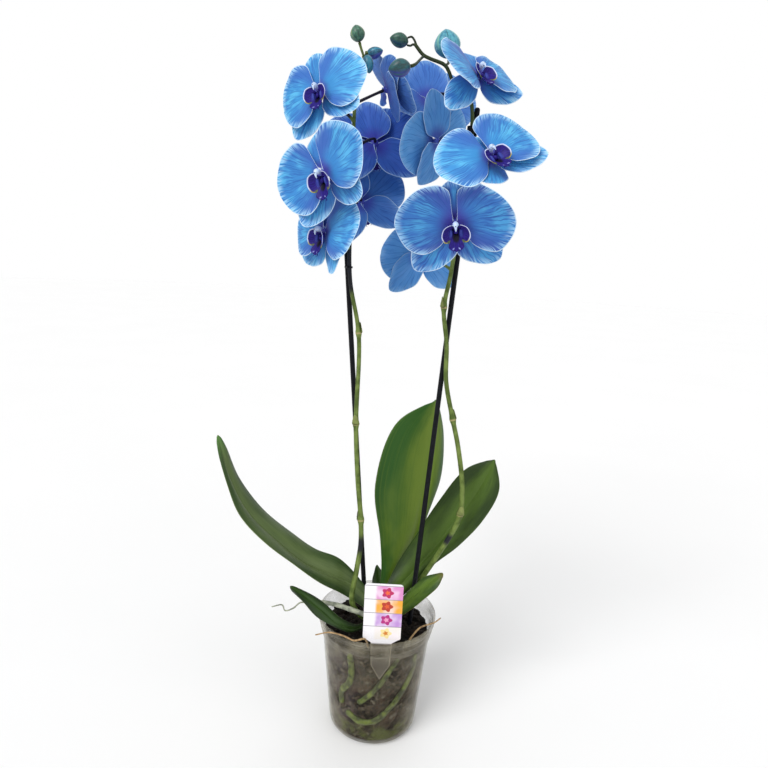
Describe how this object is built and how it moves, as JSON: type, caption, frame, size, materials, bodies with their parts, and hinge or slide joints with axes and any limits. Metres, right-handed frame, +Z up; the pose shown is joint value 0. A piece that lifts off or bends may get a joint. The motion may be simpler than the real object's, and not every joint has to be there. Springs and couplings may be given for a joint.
{
  "type": "moth orchid in clear plastic pot",
  "caption": "Blue moth orchid with arching flower spikes on stakes, strap leaves and air roots, growing in bark in a clear nursery pot with a plant tag.",
  "frame": {"origin": "middle of the pot's underside, on the surface that it stands on", "axes": "+Z up along the pot's axis, -Y towards the side with the plant tag, +X to the right seen from there"},
  "size_m": [0.2766, 0.1743, 0.683],
  "materials": {
    "clear_pot": "clear smoky plastic, smooth",
    "bark_chips": "rough dark bark chips",
    "crown_green": "fleshy plant tissue",
    "leaf_green": "waxy leaf, soft sheen",
    "stem_green": "smooth green stem with dark dye stains",
    "stake_black": "smooth plastic",
    "clip_black": "smooth plastic",
    "petal_blue": "soft petal with fine veins",
    "lip_indigo": "waxy petal",
    "bud_teal": "smooth bud",
    "root_grey": "dry spongy root skin",
    "root_dry": "papery dry root",
    "root_green": "moist root skin",
    "tag_card": null
  },
  "bodies": {
    "root": {"pot": "clear_pot", "crown": "crown_green", "leaf_left": "leaf_green", "leaf_upright": "leaf_green", "leaf_right": "leaf_green", "leaf_small_right": "leaf_green", "leaf_low_left": "leaf_green", "leaf_rear": "leaf_green", "bark": "bark_chips", "tag": "tag_card", "spike_left": "stem_green", "stake_left": "stake_black", "clip_left": "clip_black", "spike_right": "stem_green", "stake_right": "stake_black", "clip_right": "clip_black", "root_air": "root_grey", "root_curled": "root_grey", "root_dry_left": "root_dry", "root_dry_right": "root_dry", "root_wall_1": "root_green", "root_wall_2": "root_green", "root_wall_3": "root_green", "bloom_left_1": "petal_blue", "lip_left_1": "lip_indigo", "bloom_left_2": "petal_blue", "lip_left_2": "lip_indigo", "bloom_left_3": "petal_blue", "lip_left_3": "lip_indigo", "bloom_left_4": "petal_blue", "lip_left_4": "lip_indigo", "bloom_left_5": "petal_blue", "lip_left_5": "lip_indigo", "bloom_left_6": "petal_blue", "lip_left_6": "lip_indigo", "bloom_right_1": "petal_blue", "lip_right_1": "lip_indigo", "bloom_right_2": "petal_blue", "lip_right_2": "lip_indigo", "bloom_right_3": "petal_blue", "lip_right_3": "lip_indigo", "bloom_right_4": "petal_blue", "lip_right_4": "lip_indigo", "bloom_right_5": "petal_blue", "lip_right_5": "lip_indigo", "bloom_right_6": "petal_blue", "lip_right_6": "lip_indigo", "bud_left_1": "bud_teal", "bud_left_2": "bud_teal", "bud_left_3": "bud_teal", "bud_right_1": "bud_teal", "bud_right_2": "bud_teal", "bud_right_3": "bud_teal"}
  },
  "joints": []
}
